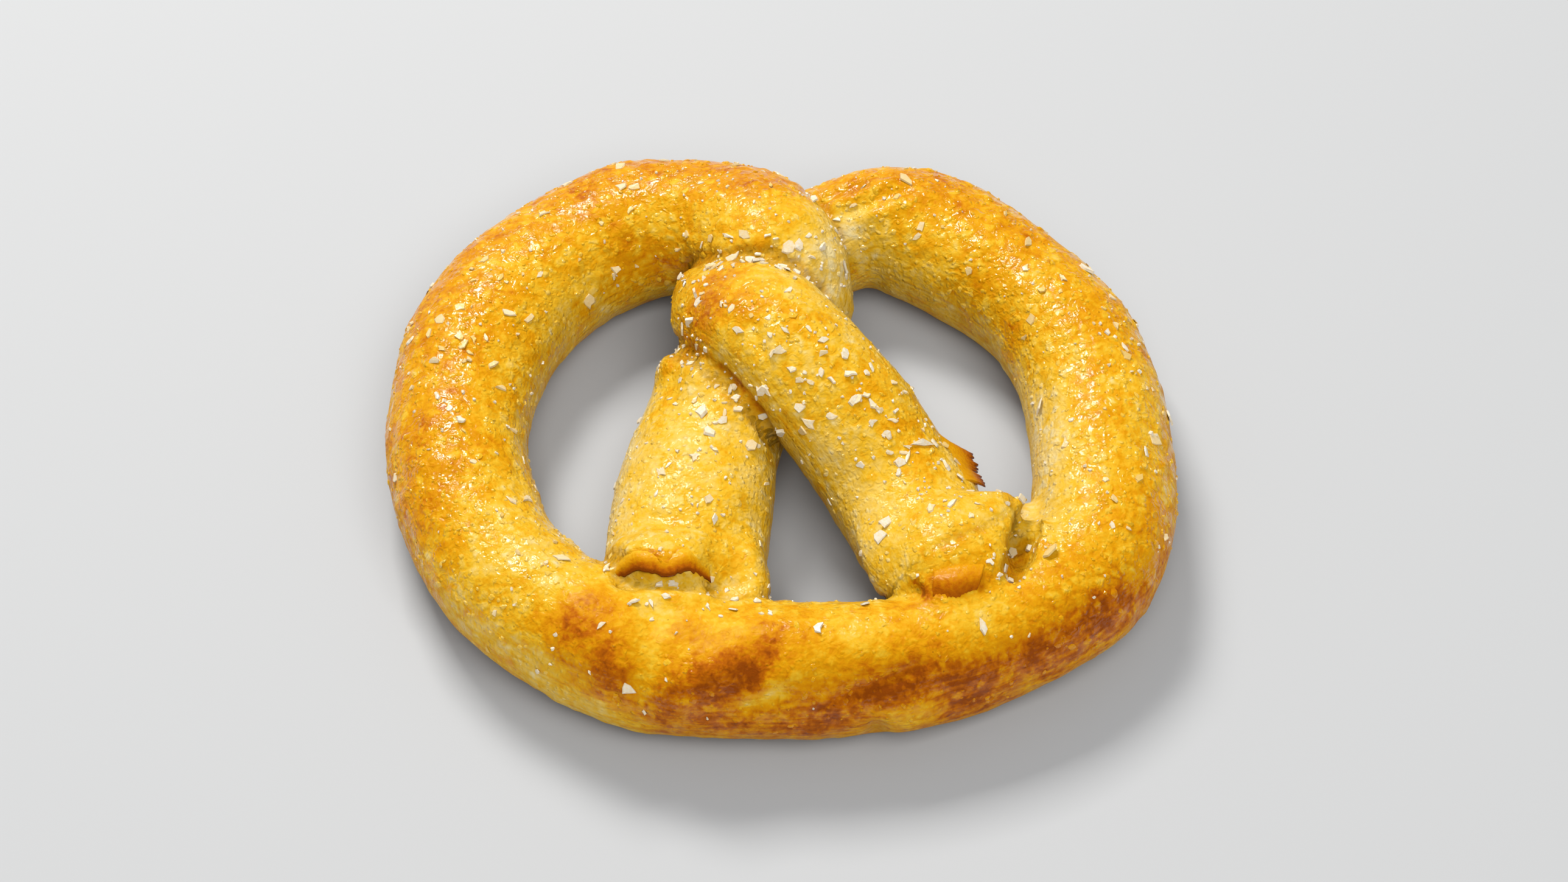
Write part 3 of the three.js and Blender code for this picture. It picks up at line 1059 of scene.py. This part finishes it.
# Flakes that stand out: place, length, width, thickness, tilt and spin.
notableFlakes = [
    ((-16.5, 20, 28.5), 3.0, 1.8, 0.7, 70, 20),
    ((-17.5, 14.5, 25.5), 2.8, 1.7, 0.7, 75, 80),
    ((-4, 27, 29.5), 3.2, 2.2, 0.9, 20, 40),
    ((0.5, 24.5, 29.5), 3.6, 1.2, 0.7, 30, -20),
    ((3.5, 30, 28), 2.6, 2.0, 0.7, 10, 60),
    ((7.5, 30.5, 27.5), 2.9, 2.2, 0.8, 15, 10),
    ((14, 28.5, 24), 3.6, 1.3, 0.6, 60, 75),
    ((-9, 33.5, 27), 3.0, 0.9, 0.6, 15, 35),
    ((-7.5, 7, 32.5), 2.4, 2.1, 0.7, 12, 5),
    ((1, 5.5, 34.5), 2.4, 1.0, 0.6, 25, -50),
    ((8, 4, 33.5), 2.3, 1.2, 0.5, 20, -30),
    ((12, 2.2, 32.5), 2.9, 1.8, 0.6, 18, 12),
    ((17, 1, 30), 2.2, 1.2, 0.5, 25, 25),
    ((16.2, -0.8, 30.5), 2.0, 1.5, 0.5, 20, 70),
    ((-3.5, -3.6, 27.5), 3.2, 2.6, 0.9, 30, 80),
    ((-14, -3.5, 22.5), 4.2, 2.2, 0.8, 14, 15),
    ((-12.5, -8.5, 23.2), 4.4, 2.6, 0.8, 12, -10),
    ((-10, -6, 22.8), 2.6, 1.4, 0.6, 20, 60),
    ((-1.5, -9.5, 21.5), 3.2, 2.2, 0.8, 45, 70),
    ((25.5, -12, 24), 5.6, 2.4, 0.8, 22, -75),
    ((21.5, -16.5, 24.6), 3.2, 2.6, 0.7, 14, 20),
    ((28, -10.5, 22), 2.2, 1.6, 0.6, 18, 50),
    ((30.5, -15.2, 22.5), 3.4, 1.8, 0.7, 25, 5),
    ((13.5, -6.5, 29), 2.6, 2.4, 0.6, 10, 30),
    ((16.5, -10, 27.2), 2.4, 1.6, 0.6, 12, 10),
    ((42.8, -30, 18.5), 3.0, 2.4, 1.0, 25, 40),
    ((39.5, -41, 20.5), 3.0, 2.2, 1.0, 50, 75),
    ((35.5, -50.5, 22), 3.6, 1.8, 0.7, 12, 75),
    ((58, 33, 21.5), 3.0, 2.4, 0.7, 10, 20),
    ((-30.5, -50.8, 22.2), 2.4, 1.6, 0.6, 20, 60),
    ((-19.5, -44.5, 22.6), 2.4, 1.8, 0.6, 25, 20),
    ((-61.5, 0, 22), 1.8, 1.3, 0.6, 18, 30),
    ((-57, -6, 22.4), 1.9, 1.4, 0.6, 12, 10),
    ((-44, -9.5, 17), 2.8, 0.8, 0.4, 35, 0),
    ((60, 15, 21.8), 2.0, 1.5, 0.5, 12, 15),
    ((63, 12.5, 21), 2.2, 1.3, 0.5, 15, 10),
]


def saltMaterial():
    board = NodeBoard("saltCrystal")
    frost = board.noise(0.5, 2)
    clear, shaded, glazed = (linear(saltSetup[k]) for k in ("colour", "shadedColour", "glazedColour"))
    colour = board.mix(board.range(frost, 0.35, 0.65), clear, shaded)
    colour = board.mix(board.field("bake"), colour, glazed)
    board.plug(board.shader.inputs["Base Color"], colour)
    board.plug(board.shader.inputs["Roughness"], board.range(frost, 0.3, 0.7, 0.12, 0.4))
    board.shader.inputs["IOR"].default_value = 1.54
    board.bump(board.times(board.noise(0.35, 2), 0.05), "Normal")
    return board.material


def saltDensity(scatter):
    upward = smoothStep(scatter.normals[:, 2], -0.1, 0.6)
    return np.maximum(0.05, saltSetup["base"] + strokes(scatter.middles, saltPatches)) * upward


def makeSalt(surface, onCrust):
    setup = saltSetup
    scatter = Scatter(surface, setup["seed"])
    draw = scatter.random
    material = saltMaterial()
    density = saltDensity(scatter)
    share, besides = setup["glazed"]
    flakes = Heap()
    for at, length, width, thickness, tilt, spin in notableFlakes:
        place, normal, _, _ = onCrust.find_nearest(Vector(at) * mm)
        thickness *= setup["notableThinner"]
        at = place + normal * thickness * 0.35 * mm  # its underside is a little inside the crust
        turn = turned(normal, tilt, spin)
        addFlake(flakes, at, turn, length, width, thickness, draw, setup["shape"])
    for i in scatter.places(setup["flakes"], density):
        length = draw.uniform(*setup["flakeLength"]) * draw.uniform(*smaller)
        width = length * draw.uniform(*setup["flakeWidth"])
        thickness = draw.uniform(*setup["flakeThickness"])
        tilt = draw.gauss(0, setup["flakeTilt"])
        turn = turned(scatter.normals[i], tilt, draw.uniform(0, 360))
        rise = 0.2 * thickness + abs(math.sin(math.radians(tilt))) * width * 0.3
        at = Vector(scatter.middles[i] + scatter.normals[i] * rise * mm)
        glazed = draw.gauss(scatter.glaze[i] * share + besides, setup["glazedUneven"])
        glazed = min(setup["glazedMost"], max(0, glazed))
        addFlake(flakes, at, turn, length, width, thickness, draw, setup["shape"], glazed)
    flakes.piece("saltFlakes", material, "salt")
    grains = Heap()
    for i in scatter.places(setup["grains"], density):
        size = draw.uniform(*setup["grainSize"])
        turn = turned(scatter.normals[i], draw.uniform(-50, 50), draw.uniform(0, 360))
        at = Vector(scatter.middles[i] + scatter.normals[i] * size * 0.1 * mm)
        thickness = size * draw.uniform(*setup["grainThickness"])
        width = size * draw.uniform(*setup["grainWidth"])
        addFlake(grains, at, turn, size, width, thickness, draw, setup["shape"])
    grains.piece("saltGrains", material, "salt")


# Grains that lie under the glaze and are as golden as the crust.
glazedSetup = {
    "seed": 23,
    "count": 1300,
    "size": (1.0, 2.6),
    "width": (0.5, 0.95),  # as a share of the size
    "thickness": (0.18, 0.4),
    "shape": {"corners": (6, 9), "reach": (0.75, 1.05), "shrink": (0.3, 0.6)},
    "paler": 0.14,
    "coat": 0.8,
}


def glazedMaterial(name, coat):
    board = NodeBoard(name)
    mottling = board.centred(board.noise(0.8, 2))
    bake = board.added(mottling, 0.3, board.field("bake"))
    board.plug(board.shader.inputs["Base Color"], board.ramp(bake, crustLook["palette"]))
    board.shader.inputs["Roughness"].default_value = 0.45
    board.shader.inputs["Specular IOR Level"].default_value = 0.1
    board.shader.inputs["Coat Weight"].default_value = coat
    board.shader.inputs["Coat Roughness"].default_value = crustLook["coatRoughness"]
    board.bump(board.times(board.noise(0.5, 1), 0.12), "Normal", "Coat Normal")
    return board.material


def makeGlazedGrains(surface):
    setup = glazedSetup
    scatter = Scatter(surface, setup["seed"])
    draw = scatter.random
    outward = smoothStep(scatter.normals[:, 2], -0.3, 0.3)
    heap = Heap()
    for i in scatter.places(setup["count"], outward * np.maximum(scatter.glaze, 0.1)):
        size = draw.uniform(*setup["size"]) * draw.uniform(*smaller)
        thickness = draw.uniform(*setup["thickness"])
        turn = turned(scatter.normals[i], draw.uniform(-14, 14), draw.uniform(0, 360))
        at = Vector(scatter.middles[i] + scatter.normals[i] * 0.02 * mm)
        bake = scatter.bake[i] - setup["paler"] + draw.uniform(-0.06, 0.06)
        width = size * draw.uniform(*setup["width"])
        addFlake(heap, at, turn, size, width, thickness, draw, setup["shape"], bake)
    heap.piece("glazedGrains", glazedMaterial("glazedGrain", setup["coat"]), "crust")


# Thin sheets of crust that stand off the dough: rows of points, from where each is joined to its free edge.
thinSheets = {
    "armBrim": {  # torn, on the far side of the right arm
        "rows": [
            [(25.5, -4.5, 18.5), (29, -8.5, 18.5), (31.3, -12.5, 18.5), (33, -17, 19)],
            [(28.6, -4.6, 16.3), (32.2, -7.3, 16), (33.8, -11.6, 16), (35.2, -15.8, 17)],
            [(30.6, -5, 13.8), (34.6, -6.4, 13.4), (35.8, -11, 13.4), (37, -14.6, 14.3)],
        ],
        "sunk": 0.5,  # how deep the joined row lies in the crust
        "thickness": (1.2, 0.5),
        "tear": 1.9,
        "bake": (0.5, 1.0),
        "browning": 1.5,  # the higher, the closer to its edge the brown stays
    },
    "leftLip": {
        "rows": [
            [(-29.6, -34.6, 18.8), (-25, -34, 22.6), (-19.6, -34.4, 23.8), (-15.5, -34.6, 23.4),
             (-12, -36, 21)],
            [(-28.8, -38, 20.2), (-24.6, -37.4, 24.2), (-19.6, -38.3, 24.2), (-15.6, -37.6, 24.3),
             (-12, -38.6, 20.6)],
            [(-28.8, -39, 19), (-24.2, -39.6, 23.2), (-19.8, -40.8, 23.1), (-15.4, -39.9, 23.4),
             (-11.8, -39.6, 19.6)],
        ],
        "sunk": 0.9,
        "thickness": (0.9, 0.6),
        "tear": 0.5,
        "bake": (0.36, 1.06),
        "browning": 1.9,
    },
    "rightCurl": {
        "rows": [
            [(27, -40.2, 23.4), (31.3, -39.4, 24.2), (35.6, -39.2, 23.8)],
            [(26.6, -42.6, 23.8), (30.5, -43.2, 24.6), (34.9, -42.3, 24.2)],
            [(26.6, -45.2, 21.8), (30.5, -45.9, 22.2), (33.9, -44.6, 22)],
        ],
        "sunk": 0.5,
        "thickness": (1.0, 0.9),
        "tear": 0.4,
        "bake": (0.56, 0.96),
        "browning": 1.0,
    },
}
thinSetup = {
    "seed": 5,
    "steps": (12, 5),  # of the grid between two points along and across a sheet
    "tearRate": 0.45,  # of the slow tears from one step to the next
    "tearJitter": 0.4,
    "unevenness": 0.06,
    "coat": 0.15,
}


def addThinSheet(heap, sheet, onCrust, draw):
    along, across = thinSetup["steps"]
    rate, jitter, uneven = (thinSetup[k] for k in ("tearRate", "tearJitter", "unevenness"))
    wide = 3 * along + 1
    rows = np.array([gridLine(row, wide) for row in sheet["rows"]])
    for j in range(wide):
        place, normal, _, _ = onCrust.find_nearest(Vector(rows[0, j]) * mm)
        rows[0, j] = place / mm - normal * sheet["sunk"]
    fine = np.stack([smoothLine(rows[:, j], across) for j in range(wide)], axis=1)
    deep = len(fine)
    tears = [noise.noise(Vector((j * rate, 0, 3))) + jitter * draw.uniform(-1, 1) for j in range(wide)]
    sheets = [[], []]
    for i in range(deep):
        share = i / (deep - 1)
        thick = sheet["thickness"][0] * (1 - share) + sheet["thickness"][1] * share
        for j in range(wide):
            outward = fine[i, j] - fine[0, j]
            outward /= max(np.linalg.norm(outward), 1e-9)
            point = fine[i, j] + outward * tears[j] * sheet["tear"] * share**3
            for side, layer in zip((0.5, -0.5), sheets):
                rise = side * thick + draw.uniform(-uneven, uneven)
                layer.append((point + np.array([0, 0, rise])) * mm)
    under = deep * wide
    faces = []
    for i in range(deep - 1):
        for j in range(wide - 1):
            a = i * wide + j
            faces.append((a, a + wide, a + wide + 1, a + 1))
            faces.append((a + under, a + 1 + under, a + wide + 1 + under, a + wide + under))
    edge = list(range(wide)) + [i * wide + wide - 1 for i in range(1, deep)]
    edge += [under - 2 - j for j in range(wide - 1)] + [i * wide for i in range(deep - 2, 0, -1)]
    faces += [(a, b, b + under, a + under) for a, b in zip(edge, edge[1:] + edge[:1])]
    heap.add(sheets[0] + sheets[1], faces)
    low, high = sheet["bake"]
    shares = [low + (high - low) * (k // wide / (deep - 1)) ** sheet["browning"] for k in range(under)]
    heap.bakes[-2 * under:] = shares + shares


def makeThinSheets(onCrust):
    draw = random.Random(thinSetup["seed"])
    heap = Heap()
    for sheet in thinSheets.values():
        addThinSheet(heap, sheet, onCrust, draw)
    piece = heap.piece("crustFolds", glazedMaterial("crustFold", thinSetup["coat"]), "crust")
    piece.data.shade_smooth()


crust, crustSurface = makeCrust()
crust.data.materials.append(crustMaterial())
print("crust ready")
onCrust = BVHTree.FromObject(crust, bpy.context.evaluated_depsgraph_get())
makeGlazedGrains(crustSurface)
makeThinSheets(onCrust)
print("glazed grains and thin folds ready")
makeSalt(crustSurface, onCrust)
print("salt ready")
